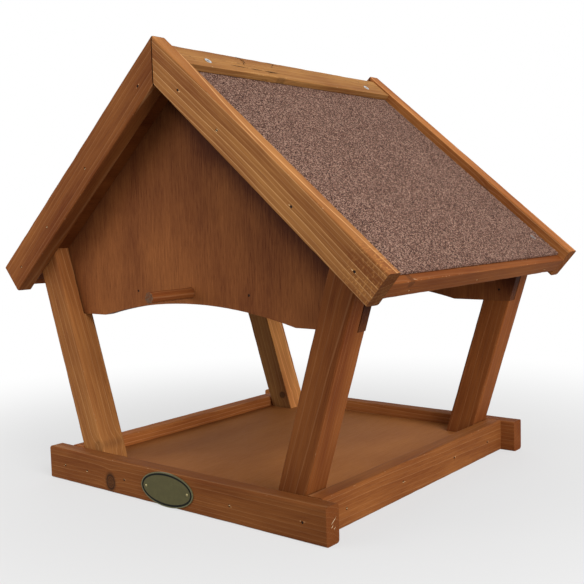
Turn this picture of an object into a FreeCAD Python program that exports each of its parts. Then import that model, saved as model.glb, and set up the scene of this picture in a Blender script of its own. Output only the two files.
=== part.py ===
import FreeCAD, Part
import math
import os
from FreeCAD import Vector

# A garden bird table: a framed feeding tray, four posts that lean outwards, two
# plywood gables and a pitched roof of felted boards between barge boards.
# Millimetres, Z up, X across the gables, Y from front to back. The pieces are laid
# out about the middle of the base. Last of all they move back a little, so that the
# origin is the middle of everything, perch included, on the surface that it stands on.

# Base frame
base_width = 374.0  # over the outer faces of the side rails
base_depth = 416.0  # over the outer faces of the front and rear rails
rail_height = 38.0
rail_thick = 20.0
rail_horn = 18.0  # how far the front and rear rails run past the side rails
floor_top = 24.0
floor_thick = 12.0

# Posts
post_size = 34.0  # square section
post_lean = 17.5  # degrees, outwards

# Gables
gable_thick = 12.0
gable_bottom = 194.0
housing_gap = 1.5  # between a gable and the wall of the housings in its posts
arch_shoulder = 38.0  # level stretch between a post and the arch
arch_rise = 18.0

# Roof
apex_height = 489.0  # where the top edges of the barge boards meet
roof_pitch = 40.5  # degrees
eave_overhang = 32.0  # along the slope, past the outer faces of the posts
barge_width = 38.0
barge_thick = 20.0
felt_drop = 10.5  # from the top edge of a barge board down to the felt
felt_thick = 2.5
board_thick = 18.0
ridge_width = 33.0
ridge_thick = 8.0
eave_width = 9.5
bearer_size = 20.0  # square section of the rafters and of the perch bearer
rafter_stop = 21.0  # from the eave back to the end of a rafter

# Perch
perch_diameter = 12.0
perch_reach = 60.0  # out from the gable
perch_rise = 12.0  # from the crown of the arch up to the middle of the perch and its bearer
perch_stop = 5.0  # from its inner end to the back of the bearer
perch_chamfer = 0.5
bearer_length = 200.0

# Oval plate
plate_width = 78.0
plate_thick = 1.2
plate_margin = 0.5  # from the plate to the top and bottom of the rail
plate_shift = -4.0  # from the middle of the rail
border_inset = 1.6
border_width = 1.6
border_depth = 0.4
pin_inset = 8.0  # from each end of the plate to a pin
pin_head = 3.0
pin_dome = 0.9
pin_steps = 6  # facets from the top of a pin's dome down to its rim
pin_shank = 1.6
pin_length = 9.0

# Nails and screws
nail_shank = 1.8
nail_head = 2.4
nail_head_depth = 1.0
nail_sink = 0.6
nail_point = 2.0
nail_bite = 14.0  # length in the second piece
gable_nail_stop = 5.0  # from the point of a nail to the outer face of its post
panel_nail_stop = 2.0  # the same, for nails that join a gable to a rafter or to the perch bearer
screw_shank = 4.0
screw_head = 8.0
screw_head_depth = 2.4
screw_point = 4.0
ridge_screw_stop = 4.0  # from the point of a screw to the underside of its board
post_screw_bite = 28.0
post_screw_inset = 10.0  # from the inner face of a post
recess_length = 4.4
recess_width = 1.0
recess_depth = 1.4
corner_nail_drop = 19.0  # below the top of the rail
floor_nail_insets_left = (30.0, 94.0)  # along a front or rear rail, from the tray's left
floor_nail_insets_right = (82.0,)  # and from its right
side_nail_insets_front = (38.0, 142.0)  # along a side rail, from the tray's front
side_nail_insets_rear = (38.0, 122.0)  # and from its rear
barge_nails_upper = {"left": (49.0, 170.0), "right": (65.0, 132.0)}  # down from the apex
barge_nails_lower = {"left": (98.0, 26.0), "right": (117.0, 28.0)}  # up from the eave
bearer_nail_inset = 17.0
rafter_nail_count = 3
gable_nail_shares = (0.2, 0.5)  # of the height of the joint between gable and post
eave_nail_drop = 12.0
eave_nail_inset = 38.0
eave_nail_middle = -18.0
ridge_screw_inset = 12.0  # up the slope from the lower edge of a ridge batten
ridge_screw_shift = 4.0  # from the middle of a rafter towards its gable
eave_screw_inset = 8.5  # up the slope from where the outer face of a post meets the roof
eave_screw_shifts = {"front": -1.5, "rear": 2.5}  # from the middle of a post towards its gable
eave_screw_bite = 19.5  # length in a post

# Rounded edges and clearances
edge_round = 2.5
slim_round = 1.0
end_gap = 0.5
drill_gap = 0.15

pitch = math.radians(roof_pitch)
lean = math.radians(post_lean)
inner_x = base_width / 2 - rail_thick
inner_y = base_depth / 2 - rail_thick
post_back = inner_y - post_size
soffit_depth = felt_drop + felt_thick + board_thick
board_depth = felt_drop + felt_thick
perch_height = gable_bottom + arch_rise + perch_rise
perch_tip = post_back + gable_thick + perch_reach
far = 4 * (base_width + base_depth + apex_height)

wood = {}
hardware = {}


def on_slope(side, along, depth, y=0.0):
    """A point of the roof: along the slope from the apex, and down square to the slope."""
    x = along * math.cos(pitch) - depth * math.sin(pitch)
    z = apex_height - along * math.sin(pitch) - depth * math.cos(pitch)
    return Vector(side * x, y, z)


def at_ridge(depth):
    """How far along the slope the middle plane of the roof lies, at this depth."""
    return depth * math.tan(pitch)


def down_slope(side):
    return Vector(side * math.cos(pitch), 0, -math.sin(pitch))


def into_roof(side):
    return Vector(-side * math.sin(pitch), 0, -math.cos(pitch))


def post_outer(z):
    """X of the outer face of a right-hand post at a height."""
    return inner_x + (z - rail_height) * math.tan(lean)


def post_inner(z):
    return post_outer(z) - post_size / math.cos(lean)


def post_middle(z):
    return (post_outer(z) + post_inner(z)) / 2


def level_at(z, depth):
    """How far along the slope a height is reached, at this depth."""
    return (apex_height - z - depth * math.cos(pitch)) / math.sin(pitch)


def meets_soffit(face):
    """Where a leaning line of a right-hand post reaches the underside of the roof."""
    rise = math.tan(lean)
    foot = face(0)
    level = apex_height * math.cos(pitch) - soffit_depth - foot * math.sin(pitch)
    z = level / (rise * math.sin(pitch) + math.cos(pitch))
    return Vector(face(z), 0, z)


def along_slope(point):
    """How far along the slope a point of the right-hand roof lies."""
    return point.x * math.cos(pitch) + (apex_height - point.z) * math.sin(pitch)


slope_length = along_slope(meets_soffit(post_outer)) + eave_overhang
board_end = slope_length - eave_width
batten_top = at_ridge(felt_drop) + drill_gap


def slab(points, y_from, y_to):
    """A plate with this outline across the gables, between two distances from front to back."""
    outline = [Vector(p.x, y_from, p.z) for p in points]
    face = Part.Face(Part.makePolygon(outline + outline[:1]))
    return face.extrude(Vector(0, y_to - y_from, 0))


def block(x_from, x_to, y_from, y_to, z_from, z_to):
    return Part.makeBox(x_to - x_from, y_to - y_from, z_to - z_from, Vector(x_from, y_from, z_from))


def strip(side, along_from, along_to, depth_from, depth_to, y_from, y_to):
    """A plate on one slope with square ends."""
    corners = [(along_from, depth_from), (along_to, depth_from)]
    corners += [(along_to, depth_to), (along_from, depth_to)]
    return slab([on_slope(side, a, d) for a, d in corners], y_from, y_to)


def mitred(side, along_to, depth_from, depth_to, y_from, y_to):
    """A plate on one slope that meets its twin at the middle plane."""
    corners = [(at_ridge(depth_from), depth_from), (along_to, depth_from)]
    corners += [(along_to, depth_to), (at_ridge(depth_to), depth_to)]
    return slab([on_slope(side, a, d) for a, d in corners], y_from, y_to)


def ease(shape, direction, radius):
    """Round the straight edges that run in one direction."""
    chosen = []
    for edge in shape.Edges:
        run = edge.Vertexes[-1].Point - edge.Vertexes[0].Point
        if run.Length > radius and run.cross(direction).Length < 1e-6 * run.Length:
            chosen.append(edge)
    return shape.makeFillet(radius, chosen)


def mirrored(shape, side, end):
    """Copy a front right piece to the side and end that are wanted."""
    if side < 0:
        shape = shape.mirror(Vector(0, 0, 0), Vector(1, 0, 0))
    if end > 0:
        shape = shape.mirror(Vector(0, 0, 0), Vector(0, 1, 0))
    return shape


def span(end, near, away):
    """The two distances from front to back of a piece at one end, in rising order."""
    return sorted((end * near, end * away))


def turned(profile):
    """A round piece along Z from its (radius, height) profile."""
    points = [Vector(0, 0, profile[0][1])] + [Vector(r, 0, z) for r, z in profile]
    if profile[-1][0] > 0:
        points.append(Vector(0, 0, profile[-1][1]))
    face = Part.Face(Part.makePolygon(points + points[:1]))
    return face.revolve(Vector(0, 0, 0), Vector(0, 0, 1), 360)


def nail(length):
    under_head = nail_sink + nail_head_depth
    return turned([(nail_head / 2, nail_sink), (nail_head / 2, under_head), (nail_shank / 2, under_head),
                   (nail_shank / 2, length - nail_point), (0, length)])


def nail_hole(length):
    bottom = nail_sink + nail_head_depth + drill_gap
    wide = nail_head / 2 + drill_gap
    slim = nail_shank / 2 + drill_gap
    return turned([(wide, -nail_head), (wide, bottom), (slim, bottom), (slim, length + drill_gap)])


def screw(length):
    body = turned([(screw_head / 2, 0), (screw_shank / 2, screw_head_depth),
                   (screw_shank / 2, length - screw_point), (0, length)])
    for long_side, short_side in ((recess_length, recess_width), (recess_width, recess_length)):
        slot = block(-long_side / 2, long_side / 2, -short_side / 2, short_side / 2, -recess_depth,
                     recess_depth)
        body = body.cut(slot)
    return body


def screw_hole(length):
    wide = screw_head / 2 + drill_gap
    slim = screw_shank / 2 + drill_gap
    return turned([(wide, -screw_head), (wide, drill_gap), (slim, screw_head_depth + drill_gap),
                   (slim, length + drill_gap)])


def pin(length):
    angles = [i * math.pi / 2 / pin_steps for i in range(1, pin_steps + 1)]
    dome = [(pin_head / 2 * math.sin(a), -plate_thick - pin_dome * math.cos(a)) for a in angles]
    return turned([(0, -plate_thick - pin_dome)] + dome + [(pin_shank / 2, -plate_thick),
                  (pin_shank / 2, length - nail_point), (0, length)])


def pin_hole(length):
    wide = pin_shank / 2 + drill_gap
    return turned([(wide, -2 * plate_thick), (wide, length + drill_gap)])


def aimed(shape, point, direction):
    """Set a shape that was built along Z so that it starts at a point and runs in a direction."""
    shape.Placement = FreeCAD.Placement(point, FreeCAD.Rotation(Vector(0, 0, 1), direction))
    return shape


def drive(group, make, make_hole, length, point, direction, pieces):
    """Drive one fastener into the named pieces, each with its hole."""
    hardware.setdefault(group, []).append(aimed(make(length), point, direction))
    hole = aimed(make_hole(length), point, direction)
    for name in pieces:
        wood[name] = wood[name].cut(hole)


def base_frame():
    """Front and rear rails, side rails between them, and the floor of the tray."""
    for name, end in (("front_rail", -1), ("rear_rail", 1)):
        y_from, y_to = span(end, inner_y, base_depth / 2)
        half = base_width / 2 + rail_horn
        rail = block(-half, half, y_from, y_to, 0, rail_height)
        wood[name] = ease(rail, Vector(1, 0, 0), edge_round)
    for name, side in (("left_rail", -1), ("right_rail", 1)):
        x_from, x_to = sorted((side * inner_x, side * base_width / 2))
        rail = block(x_from, x_to, -inner_y, inner_y, 0, rail_height)
        wood[name] = ease(rail, Vector(0, 1, 0), edge_round)
    wood["floor_board"] = block(-inner_x, inner_x, -inner_y, inner_y, floor_top - floor_thick, floor_top)


def post():
    """The front right post: leaning, cut level at the foot and to the slope at the top."""
    reach = far / 2
    stock = block(-post_size, 0, -inner_y, -post_back, -reach, reach)
    stock = ease(stock, Vector(0, 0, 1), edge_round)
    axis = Vector(math.sin(lean), 0, math.cos(lean))
    stock = aimed(stock, Vector(inner_x, 0, rail_height), axis)
    room = slab([Vector(0, 0, floor_top), on_slope(1, level_at(floor_top, soffit_depth), soffit_depth),
                 on_slope(1, at_ridge(soffit_depth), soffit_depth)], -base_depth, base_depth)
    housing = block(0, far, -post_back - gable_thick - housing_gap, -post_back, gable_bottom, far)
    return stock.common(room).cut(housing)


def posts():
    front_right = post()
    for end_name, end in (("front", -1), ("rear", 1)):
        for side_name, side in (("left", -1), ("right", 1)):
            wood[f"post_{end_name}_{side_name}"] = mirrored(front_right, side, end)


def gable(end):
    """A plywood panel between the slopes, with a shallow arch in its lower edge."""
    top = meets_soffit(post_outer)
    half_arch = post_inner(gable_bottom) - arch_shoulder
    y_from, y_to = span(end, post_back, post_back + gable_thick)
    corner = Vector(post_outer(gable_bottom), y_from, gable_bottom)
    springing = Vector(half_arch, y_from, gable_bottom)
    right = [springing, corner, Vector(top.x, y_from, top.z)]
    left = [Vector(-p.x, p.y, p.z) for p in reversed(right)]
    ridge = on_slope(1, at_ridge(soffit_depth), soffit_depth, y_from)
    corners = right + [ridge] + left
    edges = [Part.LineSegment(a, b).toShape() for a, b in zip(corners, corners[1:])]
    crown = Vector(0, y_from, gable_bottom + arch_rise)
    edges.append(Part.Arc(left[-1], crown, springing).toShape())
    return Part.Face(Part.Wire(edges)).extrude(Vector(0, y_to - y_from, 0))


def gables():
    for name, end in (("front_gable", -1), ("rear_gable", 1)):
        wood[name] = gable(end)


def perch():
    """A dowel through the front gable, held by a bearer behind it."""
    bottom = perch_height - bearer_size / 2
    wood["perch_bearer"] = block(-bearer_length / 2, bearer_length / 2, -post_back, -post_back + bearer_size,
                                 bottom, bottom + bearer_size)
    length = perch_reach + gable_thick + bearer_size - perch_stop
    start = Vector(0, -perch_tip, perch_height)
    dowel = Part.makeCylinder(perch_diameter / 2, length, start, Vector(0, 1, 0))
    rims = [e for e in dowel.Edges if e.Closed and e.Curve.TypeId == "Part::GeomCircle"]
    hole = Part.makeCylinder(perch_diameter / 2 + drill_gap, length + end_gap, start, Vector(0, 1, 0))
    for name in ("front_gable", "perch_bearer"):
        wood[name] = wood[name].cut(hole)
    wood["perch"] = dowel.makeChamfer(perch_chamfer, rims)


def roof():
    """Boards, felt, barge boards, ridge battens, eave strips and the rafters underneath."""
    for side_name, side in (("left", -1), ("right", 1)):
        boards = mitred(side, board_end, board_depth, soffit_depth, -inner_y, inner_y)
        wood[f"roof_board_{side_name}"] = boards
        edge = inner_y - end_gap
        wood[f"roof_felt_{side_name}"] = mitred(side, board_end, felt_drop, board_depth, -edge, edge)
        batten = strip(side, batten_top, batten_top + ridge_width, felt_drop - ridge_thick, felt_drop,
                       -edge, edge)
        wood[f"ridge_batten_{side_name}"] = ease(batten, Vector(0, 1, 0), slim_round)
        lath = strip(side, board_end, slope_length, board_depth, soffit_depth, -inner_y, inner_y)
        wood[f"eave_strip_{side_name}"] = ease(lath, Vector(0, 1, 0), slim_round)
        for end_name, end in (("front", -1), ("rear", 1)):
            y_from, y_to = span(end, inner_y, inner_y + barge_thick)
            barge = mitred(side, slope_length, 0, barge_width, y_from, y_to)
            wood[f"barge_{end_name}_{side_name}"] = ease(barge, down_slope(side), edge_round)
            y_from, y_to = span(end, post_back - bearer_size, post_back)
            wood[f"rafter_{end_name}_{side_name}"] = mitred(
                side, slope_length - rafter_stop, soffit_depth, soffit_depth + bearer_size, y_from, y_to)


def oval(width, height, y, thick):
    """An oval plate that stands on edge, centred on the front rail."""
    middle = Vector(plate_shift, y, rail_height / 2)
    axis = Part.Ellipse(middle + Vector(width / 2, 0, 0), middle + Vector(0, 0, height / 2), middle)
    return Part.Face(Part.Wire(axis.toShape())).extrude(Vector(0, thick, 0))


def plate():
    """The bare oval plate on the front rail, with a sunk border line and two pins."""
    height = rail_height - 2 * plate_margin
    face_y = -base_depth / 2 - plate_thick
    body = oval(plate_width, height, face_y, plate_thick)
    outside = oval(plate_width - 2 * border_inset, height - 2 * border_inset, face_y, border_depth)
    inset = border_inset + border_width
    inside = oval(plate_width - 2 * inset, height - 2 * inset, face_y, border_depth)
    wood["oval_plate"] = body.cut(outside.cut(inside))
    for direction in (-1, 1):
        x = plate_shift + direction * (plate_width / 2 - pin_inset)
        point = Vector(x, -base_depth / 2, rail_height / 2)
        drive("plate_pins", pin, pin_hole, pin_length, point, Vector(0, 1, 0), ["oval_plate", "front_rail"])


def base_nails():
    """Rails to side rails, and all four rails to the edges of the floor."""
    floor_middle = floor_top - floor_thick / 2
    length = rail_thick + nail_bite
    spots = [-inner_x + inset for inset in floor_nail_insets_left]
    spots += [inner_x - inset for inset in floor_nail_insets_right]
    for name, end in (("front_rail", -1), ("rear_rail", 1)):
        inwards = Vector(0, -end, 0)
        for side_name, side in (("left", -1), ("right", 1)):
            x = side * (base_width - rail_thick) / 2
            point = Vector(x, end * base_depth / 2, rail_height - corner_nail_drop)
            drive("corner_nails", nail, nail_hole, length, point, inwards, [name, f"{side_name}_rail"])
        for x in spots:
            point = Vector(x, end * base_depth / 2, floor_middle)
            drive("floor_nails", nail, nail_hole, length, point, inwards, [name, "floor_board"])
    spots = [-inner_y + inset for inset in side_nail_insets_front]
    spots += [inner_y - inset for inset in side_nail_insets_rear]
    for name, side in (("left_rail", -1), ("right_rail", 1)):
        for y in spots:
            point = Vector(side * base_width / 2, y, floor_middle)
            drive("floor_nails", nail, nail_hole, length, point, Vector(-side, 0, 0), [name, "floor_board"])


def post_fixings():
    """A screw up through the floor into each post, and nails through each gable into its posts."""
    foot = floor_top - floor_thick
    joint_top = meets_soffit(post_middle).z
    for end_name, end in (("front", -1), ("rear", 1)):
        for side_name, side in (("left", -1), ("right", 1)):
            name = f"post_{end_name}_{side_name}"
            point = Vector(side * post_middle(floor_top), end * (post_back + post_screw_inset), foot)
            drive("post_screws", screw, screw_hole, floor_thick + post_screw_bite, point, Vector(0, 0, 1),
                  ["floor_board", name])
            for share in gable_nail_shares:
                z = gable_bottom + share * (joint_top - gable_bottom)
                point = Vector(side * post_middle(z), end * post_back, z)
                drive("gable_nails", nail, nail_hole, post_size - gable_nail_stop, point, Vector(0, end, 0),
                      [f"{end_name}_gable", name])


def roof_fixings():
    """Nails in the barge boards, eave strips, rafters and perch bearer, and the roof screws."""
    ridge_screw_at = batten_top + ridge_width - ridge_screw_inset
    eave_screw_at = slope_length - eave_overhang - eave_screw_inset
    covering = felt_thick + board_thick
    panel_nail = gable_thick + bearer_size - panel_nail_stop
    for side_name, side in (("left", -1), ("right", 1)):
        board = f"roof_board_{side_name}"
        barge_spots = list(barge_nails_upper[side_name])
        barge_spots += [slope_length - up for up in barge_nails_lower[side_name]]
        for y in (-inner_y + eave_nail_inset, eave_nail_middle, inner_y - eave_nail_inset):
            point = on_slope(side, slope_length, board_depth + eave_nail_drop, y)
            drive("eave_nails", nail, nail_hole, eave_width + nail_bite, point, -down_slope(side),
                  [f"eave_strip_{side_name}", board])
        for end_name, end in (("front", -1), ("rear", 1)):
            rafter = f"rafter_{end_name}_{side_name}"
            for along in barge_spots:
                point = on_slope(side, along, board_depth + board_thick / 2, end * (inner_y + barge_thick))
                drive("barge_nails", nail, nail_hole, barge_thick + nail_bite, point, Vector(0, -end, 0),
                      [f"barge_{end_name}_{side_name}", board])
            y = end * (post_back - bearer_size / 2 + ridge_screw_shift)
            point = on_slope(side, ridge_screw_at, felt_drop - ridge_thick, y)
            drive("ridge_screws", screw, screw_hole, ridge_thick + covering - ridge_screw_stop, point,
                  into_roof(side), [f"ridge_batten_{side_name}", f"roof_felt_{side_name}", board])
            y = end * (post_back + post_size / 2 - eave_screw_shifts[end_name])
            point = on_slope(side, eave_screw_at, felt_drop, y)
            drive("eave_screws", screw, screw_hole, covering + eave_screw_bite, point, into_roof(side),
                  [f"roof_felt_{side_name}", board, f"post_{end_name}_{side_name}"])
            middle = soffit_depth + bearer_size / 2
            run = along_slope(meets_soffit(post_inner)) - at_ridge(middle)
            for i in range(rafter_nail_count):
                along = at_ridge(middle) + run * (i + 0.5) / rafter_nail_count
                point = on_slope(side, along, middle, end * (post_back - bearer_size))
                drive("rafter_nails", nail, nail_hole, panel_nail, point, Vector(0, end, 0),
                      [rafter, f"{end_name}_gable"])
    for direction in (-1, 1):
        x = direction * (bearer_length / 2 - bearer_nail_inset)
        point = Vector(x, -post_back - gable_thick, perch_height)
        drive("bearer_nails", nail, nail_hole, panel_nail, point, Vector(0, 1, 0),
              ["front_gable", "perch_bearer"])


def write_parts():
    """One file for each single piece, and one for each group of like fasteners."""
    os.makedirs("parts", exist_ok=True)
    rear_reach = max(base_depth / 2, inner_y + barge_thick)
    back = Vector(0, (max(perch_tip, rear_reach) - rear_reach) / 2, 0)
    for name, shape in wood.items():
        if len(shape.Solids) != 1 or not shape.isValid():
            raise RuntimeError(f"{name} isn't one sound solid")
        shape.Solids[0].translated(back).exportStep(f"parts/{name}.step")
    for name, solids in hardware.items():
        solids = [shape.Solids[0].translated(back) for shape in solids]
        Part.makeCompound(solids).exportStep(f"parts/{name}.step")


base_frame()
posts()
gables()
perch()
roof()
plate()
base_nails()
post_fixings()
roof_fixings()
write_parts()
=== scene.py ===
# A garden bird table: stained pine rails, leaning posts and barge boards, plywood
# gables and floor, a pitched roof under mineral felt, and a bare oval plate.
# Every piece keeps the size and place of its part in the frame.

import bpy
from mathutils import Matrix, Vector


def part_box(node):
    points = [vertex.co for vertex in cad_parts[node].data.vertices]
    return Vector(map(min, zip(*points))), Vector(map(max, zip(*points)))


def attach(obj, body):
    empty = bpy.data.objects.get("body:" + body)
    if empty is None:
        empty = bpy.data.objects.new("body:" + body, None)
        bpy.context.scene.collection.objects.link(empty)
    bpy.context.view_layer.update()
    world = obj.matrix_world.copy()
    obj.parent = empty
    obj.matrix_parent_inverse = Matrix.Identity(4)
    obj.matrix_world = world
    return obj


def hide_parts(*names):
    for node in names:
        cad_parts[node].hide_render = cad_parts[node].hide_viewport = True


bl_info = {
    "name": "Garden bird table",
    "version": (1, 0, 0),
    "blender": (4, 5, 0),
    "location": "3D View > Sidebar > Bird table",
    "description": "Dresses the bird table in stained pine, plywood, mineral felt and metal",
    "category": "Object",
}

import bmesh
import bpy
import math
import random
from bpy.props import FloatProperty, FloatVectorProperty, IntProperty, PointerProperty
from bpy.types import Operator, Panel, PropertyGroup
from dataclasses import dataclass
from mathutils import Matrix, Vector, noise

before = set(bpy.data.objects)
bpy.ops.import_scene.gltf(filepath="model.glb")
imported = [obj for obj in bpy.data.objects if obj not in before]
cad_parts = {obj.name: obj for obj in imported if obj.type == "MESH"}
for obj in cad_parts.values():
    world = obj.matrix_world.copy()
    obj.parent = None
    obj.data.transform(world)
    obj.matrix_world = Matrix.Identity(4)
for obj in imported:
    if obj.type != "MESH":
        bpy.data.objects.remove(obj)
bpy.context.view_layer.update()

MM = 0.001
RIGHT = Vector((1, 0, 0))
BACK = Vector((0, 1, 0))
UP = Vector((0, 0, 1))
SIDES = {"left": -1, "right": 1}
ENDS = ("front", "rear")
ROOF_SCREWS = ("ridge_screws", "eave_screws")
SHOWN_NAILS = ("corner_nails", "floor_nails", "eave_nails", "barge_nails")
HIDDEN_NAILS = ("gable_nails", "rafter_nails", "bearer_nails")

WELD = 0.005 * MM
FLAT_ANGLE = math.radians(0.6)
SHARP_ANGLE = math.radians(38)
END_FACING = 0.6  # least cosine for a face that counts as a sawn end, or as a panel's broad face
SIDE_FACING = 0.7  # the same, for a face that looks a given way
ARRIS_REACH = 3.6 * MM  # how far an arris's wear spreads over the faces beside it
PANEL_REACH = 1.5 * MM  # the same on plywood
WAVES = (14, 55)  # scale of the plane's waviness, along the grain and across it
KNOCKS = (60, 20)  # the same for the knocks along the arrises
MOST_SINK = 1.2 * MM  # how deep the surface may lie under the solid's
SEAM = 0.9 * MM  # width of the eased edge where two pieces are mitred
CURL_REACH = 30 * MM  # how gradually a curly figure sets in
NO_KNOT = (9.0, 9.0, 0.0)  # for a piece without knots: far away, with no strength
MOST_SHADE_AND_STAIN = 0.85  # no part of a gable is darkened by more than this share

SKIN = 0.2 * MM  # how near to a sheet's face its points lie
GRANULE_SHIFT = 0.3  # how far granules stray from even rows, as a share of one
EAVE_FRAY = 0.7  # how far the eave's edge is short of even, as a share of a granule
SAG = 9  # scale of the sheet's unevenness
SCREW_PRESS = 5.2 * MM  # how far from a screw the felt is pressed down

HEAD_SKIN = 0.3 * MM  # how near to the top of a nail or screw its head's points lie
# Dark slivers laid in the screw heads' recesses, as painted shade.
RECESS_REACH = 2.1 * MM
RECESS_WIDTH = 1.3 * MM
RECESS_SINK = 0.35 * MM
NAIL_RADIUS = 1.2 * MM
SPLINTER_DEPTH = 0.5 * MM
BORDER_SIDES = 96  # of the oval line on the plate
MARK_DEPTH = 0.2 * MM
MARK_RISE = 0.15 * MM  # how far the marks stand off the solid, whose surface is roughened

LAMP_TARGET = (0, 0, 0.22)
FILM = 36  # width and height of the camera's film, in mm
NEAREST = 0.05  # nothing nearer to the camera than this is drawn

# Marks: a width and a line of points, in mm from the middle of the piece and along its own axes.
CRACKS = (
    (1.2, (-89, -15.5, -4), (-83, -13, -4), (-84, -6, -4), (-88, 1, -4)),
    (0.9, (-85, -15.5, -4), (-80, -12, -4), (-83, -2, -4)),
    (1.2, (-116, 5.5, -4), (-83, 6.1, -4), (-61, 6.5, -4), (-31, 5.9, -4)),
    (1.0, (-56, 7.8, -4), (-34, 7.4, -4)),
    (1.0, (-38, -14.3, -4), (-24, -13.7, -4), (-32, -9, -4), (-36, -4, -4)),
)
SCRATCHES = (
    (0.8, (205, -1, -2.5), (205, -7, 6)),
    (0.7, (205, 2.5, -3), (205, -0.5, 1.5)),
    (0.6, (205, 4.5, 1), (205, 2.5, 4.5)),
)
CHIPS = (
    (1.6, (-153, 9, 2), (-147, 9, 3.6)),
    (0.6, (-103, 9, 4.1), (-101.5, 9, 4.6)),
    (0.7, (-90, 9, 3.8), (-88, 9, 4.4)),
    (0.5, (-70, 9, 3.9), (-68.5, 9, 4.5)),
    (0.5, (-127, 9, 3.4), (-125, 9, 3.7)),
    (0.5, (-31, 9, 3.7), (-29.5, 9, 4.1)),
)


def colour_setting(name, text, default):
    return FloatVectorProperty(name=name, description=text, subtype="COLOR", size=3, min=0, max=1,
                               default=default)


def length_setting(name, text, default):
    return FloatProperty(name=name, description=text, unit="LENGTH", subtype="DISTANCE", min=0,
                         default=default)


def angle_setting(name, text, degrees):
    return FloatProperty(name=name, description=text, subtype="ANGLE", default=math.radians(degrees))


def power_setting(name, text, watts):
    return FloatProperty(name=name, description=text, unit="POWER", min=0, default=watts)


def share_setting(name, text, default):
    return FloatProperty(name=name, description=text, subtype="FACTOR", min=0, max=1, default=default)


class TimberSettings(PropertyGroup):
    """Finish and surface of the planed pine."""

    earlywood: colour_setting("Earlywood", "Soft wood that took up the stain", (0.144, 0.037, 0.0095))
    latewood: colour_setting("Latewood", "Hard lines that the stain left light", (0.39, 0.145, 0.038))
    honey: colour_setting("Honey", "Middle tone of the yellowest pieces", (0.259, 0.127, 0.04))
    russet: colour_setting("Russet", "Middle tone of the reddest pieces", (0.215, 0.05, 0.0105))
    bare: colour_setting("Bare", "Wood bared by wear and scratches", (0.66, 0.47, 0.28))
    chip: colour_setting("Chip", "Small chips along the eave", (0.42, 0.25, 0.14))
    crack: colour_setting("Crack", "Dark inside of a hair crack", (0.03, 0.012, 0.005))
    knot: colour_setting("Knot", "Heart of a knot", (0.04, 0.018, 0.009))
    sawn: colour_setting("Sawn", "Sawn ends", (0.2, 0.054, 0.013))
    weathered: colour_setting("Weathered", "Sawn end of the perch", (0.12, 0.09, 0.06))
    ring: length_setting("Ring", "Distance between two year rings", 4.6 * MM)
    relief: length_setting("Relief", "Depth of the waviness that the plane left", 0.22 * MM)
    wear: length_setting("Wear", "Depth of the knocks along the arrises", 0.55 * MM)
    cell: length_setting("Cell", "Longest side of a face along the grain", 7 * MM)


class PlywoodSettings(PropertyGroup):
    """Finish and make-up of the plywood panels."""

    gable: colour_setting("Gable", "Face veneer of the gables", (0.235, 0.08, 0.023))
    gable_deep: colour_setting("Gable, deep", "Darker grain of the gables", (0.08, 0.02, 0.007))
    floor: colour_setting("Floor", "Face veneer of the tray's floor", (0.31, 0.116, 0.031))
    floor_deep: colour_setting("Floor, deep", "Darker grain of the floor", (0.195, 0.065, 0.017))
    # The gables' stain paints shade under the roof and barges, with some darker stain: how dark it starts
    # under the right slope, and how far down it reaches.
    stain: share_setting("Stain", "How much darker the gables are under the right slope", 0.62)
    shade_and_stain_reach: length_setting("Stain, reach", "How far down from the roof that shows", 52 * MM)
    ply: length_setting("Ply", "Thickness of one ply", 2.4 * MM)
    relief: length_setting("Relief", "Depth of the panels' unevenness", 0.15 * MM)
    cell: length_setting("Cell", "Longest side of a face", 9 * MM)


class FeltSettings(PropertyGroup):
    """Mineral felt on the roof."""

    granule: length_setting("Granule", "Size of one mineral granule", 1.3 * MM)
    relief: length_setting("Relief", "Height of the granules", 0.6 * MM)
    proud: length_setting("Proud", "How far the tallest granules stand above the sheet", 0.25 * MM)
    mid: colour_setting("Mid", "Most of the granules", (0.128, 0.06, 0.042))
    dark: colour_setting("Dark", "Dark granules and the bitumen between", (0.023, 0.011, 0.009))
    pale: colour_setting("Pale", "Pale granules", (0.44, 0.28, 0.21))
    seed: IntProperty(name="Seed", description="Choice of the granules' heights", default=11)


class MetalSettings(PropertyGroup):
    """Oval plate, pins, screws and nails."""

    plate: colour_setting("Plate", "Aged brass of the oval plate", (0.078, 0.068, 0.0225))
    rim: colour_setting("Rim", "Rim of the plate, outside its dark line", (0.13, 0.122, 0.058))
    enamel: colour_setting("Enamel", "Dark line round the plate", (0.006, 0.006, 0.004))
    pin: colour_setting("Pin", "Brass pins", (0.3, 0.25, 0.12))
    zinc: colour_setting("Zinc", "Plated roof screws", (0.62, 0.63, 0.64))
    nail: colour_setting("Nail", "Dull heads of the nails", (0.018, 0.012, 0.009))
    bare_wood: colour_setting("Bare wood", "Fibres torn up beside the nails", (0.62, 0.4, 0.2))
    border_inset: length_setting("Border, inset", "From the plate's edge to its dark line", 1.25 * MM)
    border_width: length_setting("Border, width", "Width of the dark line", 2.2 * MM)
    border_depth: length_setting("Border, depth", "Depth of the groove of the dark line", 0.4 * MM)
    border_proud: length_setting("Border, proud", "How far the enamel stands above the plate", 0.06 * MM)
    nail_sink: length_setting("Nail, sink", "How far the nails are driven in", 0.6 * MM)
    splinter: length_setting("Splinter", "Length of the splinters beside a nail", 2.4 * MM)
    seed: IntProperty(name="Seed", description="Choice of the splinters' places", default=5)


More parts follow.
